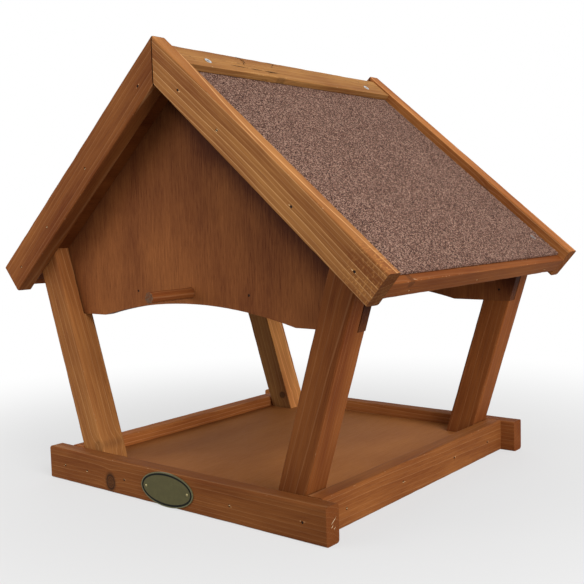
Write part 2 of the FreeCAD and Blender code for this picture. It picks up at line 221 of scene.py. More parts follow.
class StageSettings(PropertyGroup):
    """Floor, light and camera."""

    camera_place: FloatVectorProperty(name="Camera", description="Where the camera stands", size=3,
                                      subtype="TRANSLATION", unit="LENGTH",
                                      default=(0.67748, -0.82484, 0.30084))
    camera_yaw: angle_setting("Yaw", "Camera's turn to the left of straight back", 38.863)
    camera_pitch: angle_setting("Pitch", "Camera's tilt above the level", -4.776)
    camera_roll: angle_setting("Roll", "Camera's turn about its own line of sight", -1.692)
    camera_lens: FloatProperty(name="Lens", description="Focal length for a 36 mm wide film",
                               unit="CAMERA", default=54.63)
    sky: FloatProperty(name="Sky", description="Strength of the even light from all round", default=0.42)
    key: power_setting("Key", "Power of the large soft lamp", 48)
    fill: power_setting("Fill", "Power of the second lamp", 9)
    side: power_setting("Side", "Power of the low lamp", 12)
    back: power_setting("Back", "Power of the lamp behind", 12)
    floor_size: length_setting("Floor", "Side of the pale floor", 24.0)
    floor_tint: colour_setting("Floor, tint", "Colour of the floor", (0.5, 0.5, 0.5))
    floor_glow: share_setting("Floor, glow", "Share of white in the floor that is seen", 0.6)
    fade_start: length_setting("Fade, start", "Where the floor begins to turn white", 0.25)
    fade_end: length_setting("Fade, end", "Where the floor is white", 0.9)


class BirdTableSettings(PropertyGroup):
    """All that a user would change."""

    timber: PointerProperty(type=TimberSettings)
    plywood: PointerProperty(type=PlywoodSettings)
    felt: PointerProperty(type=FeltSettings)
    metal: PointerProperty(type=MetalSettings)
    stage: PointerProperty(type=StageSettings)


# Materials


def maths(operation, turned=False):
    """A method that adds a Math node, with the value's own socket last where the operator is turned."""
    def method(self, *others):
        values = (*others, self) if turned else (self, *others)
        return self.look.add("ShaderNodeMath", {"operation": operation}, dict(enumerate(values)))
    return method


class Value:
    """A socket of a material. Its operators add the Math nodes that they stand for."""

    __add__ = __radd__ = maths("ADD")
    __sub__ = maths("SUBTRACT")
    __rsub__ = maths("SUBTRACT", turned=True)
    __mul__ = __rmul__ = maths("MULTIPLY")
    __truediv__ = maths("DIVIDE")
    __rpow__ = maths("POWER", turned=True)
    root = maths("SQRT")
    fraction = maths("FRACT")
    whole = maths("FLOOR")
    most = maths("MAXIMUM")
    least = maths("MINIMUM")

    def __init__(self, look, socket):
        self.look = look
        self.socket = socket

    def step(self, low, high):
        """0 below low and 1 above high, or the other way round, smooth between."""
        return self.look.add("ShaderNodeMapRange", {"interpolation_type": "SMOOTHSTEP"},
                             {"Value": self, "From Min": low, "From Max": high})


class Look:
    """The nodes of one material, or of a world."""

    def __init__(self, data):
        self.data = data
        data.use_nodes = True
        self.tree = data.node_tree
        self.tree.nodes.clear()

    def add(self, kind, settings=None, sockets=None, output=None):
        """Add a node: its settings first, then the values or links of its sockets."""
        node = self.tree.nodes.new(kind)
        for key, value in (settings or {}).items():
            if key == "stops":
                self.place_stops(node.color_ramp, value)
            else:
                setattr(node, key, value)
        for key, value in (sockets or {}).items():
            socket = next(s for i, s in enumerate(node.inputs) if s.enabled and key in (i, s.name))
            if isinstance(value, Value):
                self.tree.links.new(value.socket, socket)
            else:
                socket.default_value = value
        return Value(self, node.outputs[output] if output else next(s for s in node.outputs if s.enabled))

    @staticmethod
    def place_stops(ramp, stops):
        """Set a ramp's stops, each from a place and a grey."""
        while len(ramp.elements) < len(stops):
            ramp.elements.new(1.0)
        for element, (place, grey) in zip(ramp.elements, stops):
            element.position = place
            element.color = (grey, grey, grey, 1)

    def attribute(self, name, output="Vector"):
        return self.add("ShaderNodeAttribute", {"attribute_name": name}, None, output)

    def place(self):
        return self.add("ShaderNodeTexCoord", None, None, "Object")

    def split(self, vector):
        node = self.add("ShaderNodeSeparateXYZ", None, {"Vector": vector}).socket.node
        return [Value(self, s) for s in node.outputs]

    def vectors(self, operation, *values):
        return self.add("ShaderNodeVectorMath", {"operation": operation}, dict(enumerate(values)))

    def cloud(self, vector, scale, detail=2.0, roughness=0.5):
        """Soft noise from 0 to 1, with a scale of its own along each axis."""
        return self.add("ShaderNodeTexNoise", None, {
            "Vector": self.vectors("MULTIPLY", vector, scale), "Scale": 1.0, "Detail": detail,
            "Roughness": roughness})

    def cells(self, vector, scale, channel):
        """A random value from 0 to 1 for each cell."""
        colour = self.add("ShaderNodeTexVoronoi", None, {"Vector": vector, "Scale": scale}, "Color")
        return self.split(colour)[channel]

    def chance(self, number):
        """A random value from 0 to 1 that stays the same for the same number."""
        return self.add("ShaderNodeTexWhiteNoise", {"noise_dimensions": "1D"}, {"W": number})

    def ramp(self, value, *stops):
        return self.add("ShaderNodeValToRGB", {"stops": stops}, {"Fac": value})

    def mix(self, first, second, factor):
        colours = [c if isinstance(c, Value) else opaque(c) for c in (first, second)]
        return self.add("ShaderNodeMix", {"data_type": "RGBA", "clamp_factor": True},
                        {"A": colours[0], "B": colours[1], "Factor": factor})

    def shaded(self, colour, factor):
        """Darken a colour, or lighten it, by a factor."""
        grey = self.add("ShaderNodeCombineXYZ", None, {"X": factor, "Y": factor, "Z": factor})
        return self.vectors("MULTIPLY", colour if isinstance(colour, Value) else tuple(colour), grey)

    def finish(self, colour, roughness, height=None, relief=0.0, **constants):
        """Close the material with one shader, and a bump where it has a height."""
        sockets = {"Base Color": colour, "Roughness": roughness}
        if height is not None:
            sockets["Normal"] = self.add("ShaderNodeBump", None, {
                "Height": height, "Strength": 1.0, "Distance": relief})
        sockets.update({key.replace("_", " "): value for key, value in constants.items()})
        return self.close(self.add("ShaderNodeBsdfPrincipled", None, sockets))

    def close(self, shader, kind="Material"):
        """Link the last shader to the output."""
        output = self.tree.nodes.new("ShaderNodeOutput" + kind)
        self.tree.links.new(shader.socket, output.inputs["Surface"])
        return self.data


def opaque(colour):
    return (*colour, 1.0)


def gain(target, middle):
    """What brings the middle tone of the wood to another colour, channel by channel."""
    return [t / m for t, m in zip(target, middle)]


def new_look(name):
    return Look(bpy.data.materials.new(name))


def pine_look(name, settings, sawn_tint):
    """Stained pine: fine light latewood lines on darker earlywood, round the pith of each piece."""
    look = new_look(name)
    grain = look.attribute("grain")
    across, through = look.split(grain)[1:]
    arris, tone, shade = look.split(look.attribute("finish"))
    curl, cracks, gap = look.split(look.attribute("marks"))
    figure, sawn, cast = [look.attribute(key, "Fac") for key in ("figure", "end", "cast")]
    knot_x, knot_y, knotty = look.split(look.attribute("knot"))
    spread = (knot_x * knot_x + knot_y * knot_y).root()
    near_knot = math.e ** (spread * spread * -0.35)
    wander = look.cloud(grain, (5, 30, 30), 1.0) - 0.5
    flutter = look.cloud(grain, (22, 160, 160), 1.0) - 0.5
    radius = (across * across + through * through).root()
    radius = radius + wander * (6 * MM) + flutter * (0.8 * MM) + near_knot * (4.5 * MM)
    rings = radius / settings.ring
    line = look.ramp(rings.fraction(), (0, 0), (0.04, 0.9), (0.1, 1), (0.17, 0.1), (0.7, 0), (1, 0))
    chance = look.chance(rings.whole())
    bright = chance * 0.85 + 0.15
    fibres = look.cloud(grain, (30, 1500, 1500), 2.0, 0.6)
    streaks = look.cloud(grain, (7, 560, 560), 3.0, 0.65)
    stain = look.cloud(grain, (7, 30, 30), 2.0)
    lines = line * bright * 0.7 + (chance - 0.5) * 0.3 - 0.06
    plain = (streaks - 0.5) * 0.42 + (fibres - 0.5) * 0.65 + (stain - 0.5) * 1.1 + 0.33
    curls = look.cloud(grain, (700, 280, 280), 2.0, 0.6).step(0.5, 0.66)
    amount = lines * figure + plain + curl * (curls * 0.42 - 0.12)
    middle = [0.67 * dark + 0.33 * light for dark, light in zip(settings.earlywood, settings.latewood)]
    tint = look.mix((1, 1, 1), gain(settings.honey, middle), tone.most(0.0))
    tint = look.mix(tint, gain(settings.russet, middle), (tone * -1.0).most(0.0))
    colour = look.vectors("MULTIPLY", look.mix(settings.earlywood, settings.latewood, amount), tint)
    colour = look.mix(colour, settings.bare, line * bright * figure * 0.28)
    heart = spread.step(1.12, 0.8)
    rim = spread.step(0.7, 1.0) * spread.step(1.55, 1.02)
    knot_rings = (spread * 3.2 + wander).fraction().step(0.2, 0.9)
    dark = (rim * 0.55 + heart * (knot_rings * 0.25 + 0.6)).least(0.95) * knotty
    colour = look.mix(colour, settings.knot, dark)
    pores = look.cloud(grain, (240, 900, 900), 2.0, 0.7)
    colour = look.mix(colour, sawn_tint, sawn * (pores.step(0.35, 0.65) * 0.75 + 0.1))
    split = look.cloud(grain, (11, 70, 70), 3.0, 0.6) - 0.5
    crack = (split * split).root().step(0.009, 0.002) * stain.step(0.46, 0.6) * cracks
    worn = arris.step(0.72, 1.0)
    chips = look.cloud(grain, (260, 700, 700), 2.0, 0.6).step(0.66, 0.7) * arris.step(0.6, 0.9)
    # Lightness: the piece's shade, painted light and shade on its faces, lighter arrises, painted shade in
    # the mitre seam and darker hair cracks.
    light = shade * cast * (worn * 0.14 + 1.0) * (1.0 - gap * 0.8) * (1.0 - crack * 0.75)
    colour = look.mix(look.shaded(colour, light), settings.bare, chips * 0.75 * (1.0 - gap))
    height = line * bright * 0.35 + fibres * 0.55 + streaks * 0.6 + sawn * pores * 2.6 - crack - chips * 0.6
    return look.finish(colour, (fibres - 0.5) * 0.25 + sawn * 0.1 + 0.66, height, 0.3 * MM,
                       Specular_IOR_Level=0.05)


def plywood_look(name, face, deep, ply, contrast):
    """Rotary-cut veneer: fine fibres with short dark pores, and plies along the edges."""
    look = new_look(name)
    grain = look.attribute("grain")
    through = look.split(grain)[2]
    shade = look.split(look.attribute("finish"))[2]
    drift = look.cloud(grain, (9, 16, 16), 3.0)
    bands = look.cloud(grain, (2.2, 55, 55), 3.0, 0.6)
    fibres = look.cloud(grain, (45, 900, 900), 3.0, 0.7)
    pores = look.cloud(grain, (85, 1300, 500), 1.0).step(0.6, 0.7)
    amount = ((drift - 0.5) * 1.2 + (bands - 0.5) * 0.5 + (fibres - 0.5) * 1.3 + pores * 0.22) * contrast
    # On the gables, shade is painted shade under the roof and barges, with some darker stain; on the floor
    # it is 1.
    colour = look.shaded(look.mix(face, deep, amount + 1.3 - shade), shade * 0.75 + 0.3)
    plies = (through / ply + 0.25 + (fibres - 0.5) * 0.08).fraction()
    stripe = look.ramp(plies, (0, 1), (0.06, 0.25), (0.46, 0.3), (0.52, 0.85), (0.94, 0.8), (1, 1))
    colour = look.shaded(colour, 1.15 - look.attribute("end", "Fac") * (stripe * 0.5 + 0.05))
    height = fibres * 0.7 - pores * 0.6 + bands * 0.3
    return look.finish(colour, (fibres - 0.5) * 0.2 + 0.66, height, 0.18 * MM, Specular_IOR_Level=0.06)


def felt_look(name, settings):
    """Crushed stone pressed into bitumen: a mixture of dark, mid and pale granules."""
    look = new_look(name)
    grain = look.attribute("grain")
    pick = look.cells(grain, 1.5 / settings.granule, 0)
    grit = look.cells(grain, 2.8 / settings.granule, 1)
    patch = look.cloud(grain, (14, 14, 14), 3.0)
    clump = look.cloud(grain, (900, 900, 900), 2.0, 0.7)
    chosen = pick * 0.86 + grit * 0.27 + (clump - 0.5) * 0.3 + (patch - 0.5) * 0.12 - 0.09
    colour = look.mix(settings.mid, settings.dark, chosen.step(0.4, 0.2) * 0.9)
    colour = look.mix(colour, settings.pale, chosen.step(0.56, 0.8) * 0.85)
    return look.finish(colour, grit * 0.2 + 0.75, clump + grit * 0.5, 0.35 * MM, Specular_IOR_Level=0.12)


def metal_look(name, colour, roughness, metallic, tarnish):
    """Metal with a little tarnish in soft patches."""
    look = new_look(name)
    place = look.place()
    patch = look.cloud(place, (180, 180, 180), 3.0, 0.6)
    scratch = look.cloud(place, (2500, 300, 900), 2.0, 0.6)
    colour = look.shaded(colour, 1.0 - patch.step(0.45, 0.75) * tarnish)
    rough = (patch - 0.5) * 0.2 + (scratch - 0.5) * 0.15 + roughness
    return look.finish(colour, rough, scratch, 0.03 * MM, Metallic=metallic)


def plate_look(name, settings, middle, half):
    """Olive patina inside the dark line, and worn brass on the rim outside it."""
    look = new_look(name)
    place = look.place()
    offset = look.vectors("SUBTRACT", place, middle)
    share = look.vectors("LENGTH", look.vectors("MULTIPLY", offset, (1 / half[0], 0, 1 / half[1])))
    patch = look.cloud(place, (160, 160, 160), 3.0, 0.6)
    speck = look.cloud(place, (1400, 1400, 1400), 2.0, 0.6)
    rim = share.step(0.9, 0.94)
    colour = look.mix(settings.plate, settings.rim, rim + (patch - 0.5) * 0.6)
    colour = look.shaded(colour, speck * 0.5 + (patch - 0.5) * 0.3 + 0.75)
    rough = (patch - 0.5) * 0.25 - rim * 0.1 + 0.5
    return look.finish(colour, rough, speck + patch, 0.05 * MM, Metallic=0.4, Specular_IOR_Level=0.3)


def plain_look(name, colour, roughness):
    """A dull surface with slight mottling, for enamel, nail heads and torn fibres."""
    look = new_look(name)
    patch = look.cloud(look.place(), (700, 700, 700))
    return look.finish(look.shaded(colour, patch * 0.5 + 0.75), (patch - 0.5) * 0.2 + roughness,
                       Specular_IOR_Level=0.08)


def material(make, name, *details):
    """Make a material once, and find it again after that."""
    return bpy.data.materials.get(name) or make(name, *details)


# Shapes


def part(node):
    """One part of the frame, or a plain message that it's missing."""
    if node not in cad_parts:
        raise RuntimeError("The frame has no part named " + node)
    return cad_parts[node]


def points_of(node):
    return [v.co.copy() for v in part(node).data.vertices]


def level(vector):
    """A vector's direction with nothing from front to back in it."""
    return Vector((vector.x, 0, vector.z)).normalized()


def slope_down(side):
    """Unit vector down one slope, from the top face of its roof board."""
    points = points_of(f"roof_board_{side}")
    ridge = max(points, key=lambda p: p.z)
    eave = max(points, key=lambda p: abs(p.x))
    return level(eave - ridge)


def slope_inward(side):
    """Unit vector square to one slope, into the roof."""
    down = slope_down(side)
    return Vector((SIDES[side] * down.z, 0, -abs(down.x)))


def post_line(node):
    """Unit vector up the middle of a leaning post."""
    points = points_of(node)
    bottom = min(p.z for p in points)
    top = max(points, key=lambda p: abs(p.x))
    foot = max((p for p in points if p.z < bottom + WELD), key=lambda p: abs(p.x))
    return level(top - foot)


def cut_across(work, direction, longest):
    """Cut a mesh square to a direction, so that no face is longer that way than asked."""
    reach = [v.co.dot(direction) for v in work.verts]
    low, high = min(reach), max(reach)
    count = math.ceil((high - low) / longest)
    for i in range(1, count):
        cut_at(work, direction * (low + (high - low) * i / count), direction)


def cut_at(work, place, direction):
    bmesh.ops.bisect_plane(work, geom=work.verts[:] + work.edges[:] + work.faces[:], dist=WELD,
                           plane_co=place, plane_no=direction)


def welded(node):
    """A copy of a node's solids in which neighbouring faces share their points."""
    work = bmesh.new()
    work.from_mesh(part(node).data)
    bmesh.ops.remove_doubles(work, verts=work.verts, dist=WELD)
    return work


def store(mesh, name, domain, values):
    """Keep a number or a vector for each point or face, for the materials to read."""
    vectors = isinstance(values[0], tuple)
    layer = mesh.attributes.new(name, "FLOAT_VECTOR" if vectors else "FLOAT", domain)
    flat = [n for v in values for n in v] if vectors else values
    layer.data.foreach_set("vector" if vectors else "value", flat)


def finished(name, work, look, slot, *nodes):
    """Make the object of a piece, smooth but for its sharp edges, and let it stand for its nodes."""
    for edge in work.edges:
        edge.smooth = len(edge.link_faces) == 2 and edge.calc_face_angle(0) < SHARP_ANGLE
    for face in work.faces:
        face.smooth = True
    mesh = bpy.data.meshes.new(name)
    work.to_mesh(mesh)
    work.free()
    mesh.materials.append(look)
    piece = bpy.data.objects.new(name, mesh)
    bpy.context.scene.collection.objects.link(piece)
    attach(piece, "root")
    if nodes:
        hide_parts(*nodes)
    return piece


def closed(name, work, look, slot, *nodes):
    """The same for shapes drawn face by face, whose faces have yet to be turned outward."""
    bmesh.ops.recalc_face_normals(work, faces=work.faces[:])
    return finished(name, work, look, slot, *nodes)


@dataclass
class Timber:
    """One piece of sawn pine. A pair of tones or shades runs from one end to the other."""

    reach = ARRIS_REACH

    along: Vector
    through: Vector
    pith: tuple = (0.05, 0.02)  # its place across and through the piece
    tilt: float = 0.0  # of the pith, through the piece
    tone: float | tuple = 0.0  # from russet, -1, to honey, 1
    shade: float | tuple = 1.0
    figure: float = 1.0  # how strong the year rings show
    knots: tuple = ()  # for each: its place along and across, its half sizes, its strength
    curl: float = math.inf  # where along the piece its grain turns curly
    cracks: float = 0.0
    # Painted light and shade: faces that look a given way are made lighter or darker as the light falls on
    # them.
    faces: tuple = ()  # directions, each with how light the faces are that look that way

    def __post_init__(self):
        self.axes = Matrix((self.along, self.through.cross(self.along), self.through))

    def measure(self, verts):
        """Find the middle and the half size of a piece along its own axes."""
        places = [self.axes @ v.co for v in verts]
        low = Vector([min(p[i] for p in places) for i in range(3)])
        high = Vector([max(p[i] for p in places) for i in range(3)])
        self.centre = (low + high) / 2
        self.half = (high - low) / 2

    def local(self, point):
        return self.axes @ point - self.centre

    def world(self, place):
        return self.axes.transposed() @ (place + self.centre)

    def grain(self, place, seed):
        """Place in the tree: along the pith and away from it."""
        return (place.x + seed, place.y - self.pith[0], place.z - self.pith[1] + self.tilt * place.x)

    def sawn(self, normal):
        """1 where the fibres come out of a face, which are the sawn ends."""
        return 1.0 if abs((self.axes @ normal).x) > END_FACING else 0.0

    def cast(self, normal):
        """How light a face is beside the others of its piece: painted light and shade by the way it looks.
        """
        return next((share for way, share in self.faces if normal.dot(way) > SIDE_FACING), 1.0)

    def arris(self, place):
        """1 on the long arrises and 0 well away from them."""
        return self.near(max(self.half.y - abs(place.y), self.half.z - abs(place.z)))

    def near(self, away):
        """1 at no distance, falling to 0 at the reach."""
        return max(0.0, 1.0 - away / self.reach)

    def nearest_knot(self, place):
        """Offset from the nearest knot, as a share of its size, and the knot's strength."""
        offsets = [((place.x - x) / long, (place.y - y) / wide, strength)
                   for x, y, long, wide, strength in self.knots]
        return min(offsets, key=lambda o: math.hypot(o[0], o[1]), default=NO_KNOT)

    def between(self, ends, place):
        """A value that may change evenly from one end of the piece to the other."""
        first, last = ends if isinstance(ends, tuple) else (ends, ends)
        return first + (last - first) * (place.x / self.half.x / 2 + 0.5)

    def lightness(self, point):
        return self.between(self.shade, self.local(point))

    def curly(self, place):
        """0 where the grain runs straight, rising to 1 where it is curly."""
        return min(1.0, max(0.0, (place.x - self.curl) / CURL_REACH))


class Dowel(Timber):
    """A turned piece, which has no arrises."""

    def arris(self, place):
        return 0.0


class Veneer(Timber):
    """A plywood panel: its plies come out along the edges."""

    reach = PANEL_REACH

    def grain(self, place, seed):
        return (place.x + seed, place.y, place.z)

    def sawn(self, normal):
        return 0.0 if abs((self.axes @ normal).z) > END_FACING else 1.0

    def arris(self, place):
        return self.near(min(self.half.y - abs(place.y), self.half.z - abs(place.z)))


class GableVeneer(Veneer):
    """A gable's panel, darker close under the roof: painted shade from the roof and barges, with some darker
    stain.
    """

    def __init__(self, node, reach, depth):
        super().__init__(UP, BACK)
        self.peak = max(points_of(node), key=lambda p: p.z)
        left, right = slope_inward("left"), slope_inward("right")
        # The ways down from the peak along which the painted shade and stain fade, how far each reaches and
        # how dark it starts.
        self.stained = ((left, reach / 2, depth / 2), (right, reach, depth),
                        (right, reach * 0.42, depth * 4.4), (-UP, reach * 1.2, depth * 1.3))

    def lightness(self, point):
        shades = [depth * math.exp(-max(0.0, (point - self.peak).dot(inward)) / reach)
                  for inward, reach, depth in self.stained]
        return 1.0 - min(MOST_SHADE_AND_STAIN, max(shades))


def seed_of(name):
    """A number that differs from piece to piece and is the same on each run."""
    return sum(ord(c) * (i + 1) for i, c in enumerate(name)) % 997 * 0.11


def unevenness(place, seed, scales):
    """Soft noise from -1 to 1 over a piece."""
    along, across = scales
    return noise.noise(Vector((place.x * along + seed, place.y * across, place.z * across)))


def dress(node, stock, look, slot, cells, relief, wear, mitre=None):
    """Copy a node's solid, cut it into small faces, sink them unevenly and keep the grain on the mesh."""
    seed = seed_of(node)
    work = welded(node)
    bmesh.ops.dissolve_limit(work, angle_limit=FLAT_ANGLE, verts=work.verts, edges=work.edges,
                             delimit={"NORMAL"})
    stock.measure(work.verts)
    for direction, cell in zip(stock.axes, cells):
        if cell:
            cut_across(work, Vector(direction), cell)
    if mitre:
        cut_at(work, mitre * SEAM, mitre)
        cut_at(work, mitre * -SEAM, mitre)
    work.normal_update()
    grain, finish, marks, knots, moves = [], [], [], [], []
    for vert in work.verts:
        place = stock.local(vert.co)
        arris = stock.arris(place)
        # Points on the mitre line, which the material paints dark as painted shade in the seam.
        gap = 1.0 if mitre and abs(vert.co.dot(mitre)) < WELD else 0.0
        knock = max(0.0, unevenness(place, seed, KNOCKS) + 0.05)
        knot = stock.nearest_knot(place)
        sink = relief * (0.6 + 0.5 * unevenness(place, seed, WAVES)) + wear * arris * knock + gap * wear
        sink += relief * max(0.0, 1.3 - math.hypot(knot[0], knot[1]))
        moves.append(vert.normal * -max(0.0, min(sink, MOST_SINK)))
        grain.append(stock.grain(place, seed))
        # The last of finish is the piece's shade; on the gables it is painted shade under the roof, with
        # some darker stain.
        finish.append((arris, stock.between(stock.tone, place), stock.lightness(vert.co)))
        marks.append((stock.curly(place), stock.cracks, gap))
        knots.append(knot)
    for vert, move in zip(work.verts, moves):
        vert.co += move
    bmesh.ops.triangulate(work, faces=[f for f in work.faces if len(f.verts) > 4])
    work.normal_update()
    sawn = [stock.sawn(f.normal) for f in work.faces]
    cast = [stock.cast(f.normal) for f in work.faces]
    mesh = finished(node + "_dressed", work, look, slot, node).data
    for name, values in (("grain", grain), ("finish", finish), ("marks", marks), ("knot", knots),
                         ("figure", [stock.figure] * len(grain))):
        store(mesh, name, "POINT", values)
    store(mesh, "end", "FACE", sawn)
    store(mesh, "cast", "FACE", cast)


def dress_pine(settings, node, stock, coarse=1.0, mitre=None):
    """Dress one piece of stained pine."""
    timber = settings.timber
    look = material(pine_look, "stained_pine_worn", timber, timber.sawn)
    cell = timber.cell * coarse
    dress(node, stock, look, "stained_pine", (cell, cell * 0.65, cell * 0.65), timber.relief,
          timber.wear, mitre)


def dress_panel(settings, node, stock, slot, face, deep, contrast):
    """Dress one panel of plywood."""
    ply = settings.plywood
    look = material(plywood_look, slot + "_worn", face, deep, ply.ply, contrast)
    dress(node, stock, look, slot, (ply.cell, ply.cell, 0), ply.relief, 0)


def fasteners(node):
    """The head and the inward direction of each nail or screw of a node."""
    work = welded(node)
    left = set(work.verts)
    found = []
    while left:
        island = grown(left.pop())
        left -= island
        places = [v.co.copy() for v in island]
        middle = sum(places, Vector()) / len(places)
        tip = max(places, key=lambda p: (p - middle).length)
        axis = (tip - middle).normalized()
        top = min(p.dot(axis) for p in places)
        rim = [p for p in places if p.dot(axis) < top + HEAD_SKIN]
        head = sum(rim, Vector()) / len(rim)
        found.append((head, (tip - head).normalized()))
    work.free()
    return sorted(found, key=lambda f: tuple(f[0]))


def grown(vert):
    """All the points that edges join to one point."""
    island = {vert}
    queue = [vert]
    while queue:
        for edge in queue.pop().link_edges:
            for other in edge.verts:
                if other not in island:
                    island.add(other)
                    queue.append(other)
    return island


def sliver(work, start, end, width, outward, thick):
    """Add a thin splinter that lies on a face and tapers from its widest place to both ends."""
    across = (end - start).cross(outward).normalized() * (width / 2)
    middle = start.lerp(end, 0.4)
    top = [start, middle - across, end, middle + across]
    verts = [work.verts.new(p - outward * (thick * 0.3)) for p in top]
    crest = work.verts.new(middle)
    root = work.verts.new(middle - outward * thick)
    for i, vert in enumerate(verts):
        work.faces.new((vert, verts[(i + 1) % 4], crest))
        work.faces.new((verts[(i + 1) % 4], vert, root))


def ring(work, outer, inner, front, back):
    """Add an upright oval ring, given half its width and height outside and inside."""
    turns = [2 * math.pi * i / BORDER_SIDES for i in range(BORDER_SIDES)]
    loops = [[work.verts.new((half[0] * math.cos(turn), y, half[1] * math.sin(turn))) for turn in turns]
             for half, y in ((outer, front), (outer, back), (inner, back), (inner, front))]
    for first, second in zip(loops, loops[1:] + loops[:1]):
        for i in range(BORDER_SIDES):
            work.faces.new((first[i - 1], first[i], second[i], second[i - 1]))


# Pieces


def make_rails(settings):
    """Front and rear rails along the front, and the side rails between them."""
    # Painted light: the left rail's high shade and its right-looking faces, the front rail's right end, and
    # the rear rail lighter towards its left, over its inner face.
    rails = {
        "front_rail": Timber(RIGHT, BACK, (0.05, -0.016), 0.02, (0.05, -0.15), (0.97, 0.66), 0.35,
                             ((-0.096, 0.007, 0.007, 0.009, 1.0),), faces=((RIGHT, 1.15),)),
        "rear_rail": Timber(RIGHT, BACK, (-0.04, -0.022), -0.03, (0.15, -0.35), (1.65, 0.85), 0.4),
        "right_rail": Timber(BACK, RIGHT, (-0.05, -0.02), 0.035, 0, 0.95, 0.3),
        "left_rail": Timber(BACK, RIGHT, (0.05, 0.03), 0.02, 0, 1.7, 0.5,
                            ((0.09, -0.006, 0.005, 0.006, 0.6),), faces=((RIGHT, 1.1),)),
    }
    for node, stock in rails.items():
        dress_pine(settings, node, stock)


def make_floor(settings):
    """The plywood floor of the tray."""
    ply = settings.plywood
    dress_panel(settings, "floor_board", Veneer(BACK, UP), "floor_plywood", ply.floor, ply.floor_deep, 0.8)


def make_posts(settings):
    """Four leaning posts."""
    # The last number in each row is painted light: how much lighter the faces that look right are, where the
    # light falls. Shade pairs run from foot to top.
    posts = {
        "post_front_left": ((0.05, 0.03), 0.03, (0.4, 0.1), (1.3, 0.95), 0.35,
                            ((-0.11, 0.011, 0.006, 0.006, 0.35),), 1.12),
        "post_front_right": ((0.04, 0.045), -0.02, -0.3, 0.66, 0.25, (), 1.28),
        "post_rear_left": ((-0.05, 0.03), 0.03, (0.5, 0.3), (0.72, 0.52), 0.35,
                           ((-0.108, 0.0075, 0.004, 0.0045, 0.9),), 4.2),
        "post_rear_right": ((0.06, 0.03), 0.02, -0.4, 0.78, 0.25, (), 1.15),
    }
    for node, (*stock, right_face_light) in posts.items():
        dress_pine(settings, node, Timber(post_line(node), BACK, *stock, faces=((RIGHT, right_face_light),)))


def make_gables(settings):
    """Two plywood gables with their grain upright."""
    ply = settings.plywood
    for node in ("front_gable", "rear_gable"):
        stock = GableVeneer(node, ply.shade_and_stain_reach, ply.stain)
        dress_panel(settings, node, stock, "gable_plywood", ply.gable, ply.gable_deep, 1.0)


def make_perch(settings):
    """The round perch and the bearer that holds it behind the gable."""
    timber = settings.timber
    look = material(pine_look, "perch_dowel_worn", timber, timber.weathered)
    stock = Dowel(BACK, UP, (0.03, 0.02), 0.02, -0.15, 1, 0.4)
    dress("perch", stock, look, "perch_dowel", (timber.cell, 0, 0), timber.relief, 0)
    dress_pine(settings, "perch_bearer", Timber(RIGHT, BACK, (0.03, 0.02), 0.02, -0.1, 0.87))


def make_roof_boards(settings):
    """Roof boards, darkened all over as painted shade for their undersides under the eaves, and the rafters
    beneath them.
    """
    for side in SIDES:
        board = Timber(BACK, slope_inward(side), (0.02, 0.09), 0.05, -0.7, 0.5, 0.0,
                       ((0.08, 0.05, 0.007, 0.006, 0.8), (-0.11, -0.07, 0.006, 0.005, 0.8)))
        dress_pine(settings, f"roof_board_{side}", board, 1.6)
        for end in ENDS:
            rafter = Timber(slope_down(side), BACK, (0.03, 0.02), 0.03, 0, 0.93)
            dress_pine(settings, f"rafter_{end}_{side}", rafter, 1.4)


def make_felt(settings):
    """Mineral felt on both slopes, granule by granule."""
    look = material(felt_look, "mineral_felt_granules", settings.felt)
    for side in SIDES:
        felt_sheet(side, settings.felt, look)


def felt_sheet(side, felt, look):
    """One closed sheet of felt: granules on top, a plain underside, ragged at the eave."""
    node = f"roof_felt_{side}"
    axes = Matrix((BACK, slope_down(side), slope_inward(side)))
    turn = axes.inverted()
    places = [axes @ p for p in points_of(node)]
    top, bottom = span(places, 2)
    upper = [p for p in places if p.z < top + SKIN]
    lower = [p for p in places if p.z > bottom - SKIN]
    left, right = span(upper, 0)
    ridge, eave = span(upper, 1)
    columns = math.ceil((right - left) / felt.granule)
    rows = math.ceil((eave - ridge) / felt.granule)
    screws = [axes @ head for head, inward in fasteners("eave_screws")]
    rng = random.Random(felt.seed)
    work = bmesh.new()
    grid = []
    for j in range(rows + 1):
        line = []
        for i in range(columns + 1):
            x = left + (right - left) * i / columns
            y = ridge + (eave - ridge) * j / rows
            if 0 < i < columns and 0 < j < rows:
                x += rng.uniform(-GRANULE_SHIFT, GRANULE_SHIFT) * felt.granule
                y += rng.uniform(-GRANULE_SHIFT, GRANULE_SHIFT) * felt.granule
            elif j == rows:
                y -= rng.uniform(0, EAVE_FRAY) * felt.granule
            sag = noise.noise(Vector((x * SAG, y * SAG, top * SAG))) * 0.5 + 0.5
            depth = felt.relief * (rng.random() + 0.4 * sag) - felt.proud
            if min(math.hypot(x - s.x, y - s.y) for s in screws) < SCREW_PRESS:
                depth = max(depth, felt.relief)
            line.append(work.verts.new(turn @ Vector((x, y, top + depth))))
        grid.append(line)
    for j in range(rows):
        for i in range(columns):
            work.faces.new((grid[j][i], grid[j][i + 1], grid[j + 1][i + 1], grid[j + 1][i]))
    rim = [(i, 0) for i in range(columns)] + [(columns, j) for j in range(rows)]
    rim += [(i, rows) for i in range(columns, 0, -1)] + [(0, j) for j in range(rows, 0, -1)]
    low, high = span(lower, 1)
    base = {(i, j): work.verts.new(turn @ Vector((left + (right - left) * i / columns,
                                                  low + (high - low) * j / rows, bottom)))
            for i, j in rim}
    for a, b in zip(rim, rim[1:] + rim[:1]):
        work.faces.new((grid[a[1]][a[0]], grid[b[1]][b[0]], base[b], base[a]))
    work.faces.new(list(base.values()))
    mesh = closed(f"felt_{side}", work, look, "mineral_felt", node).data
    mesh.shade_flat()
    store(mesh, "grain", "POINT", [tuple(axes @ v.co) for v in mesh.vertices])


def span(places, axis):
    """Least and greatest along one axis."""
    values = [p[axis] for p in places]
    return min(values), max(values)


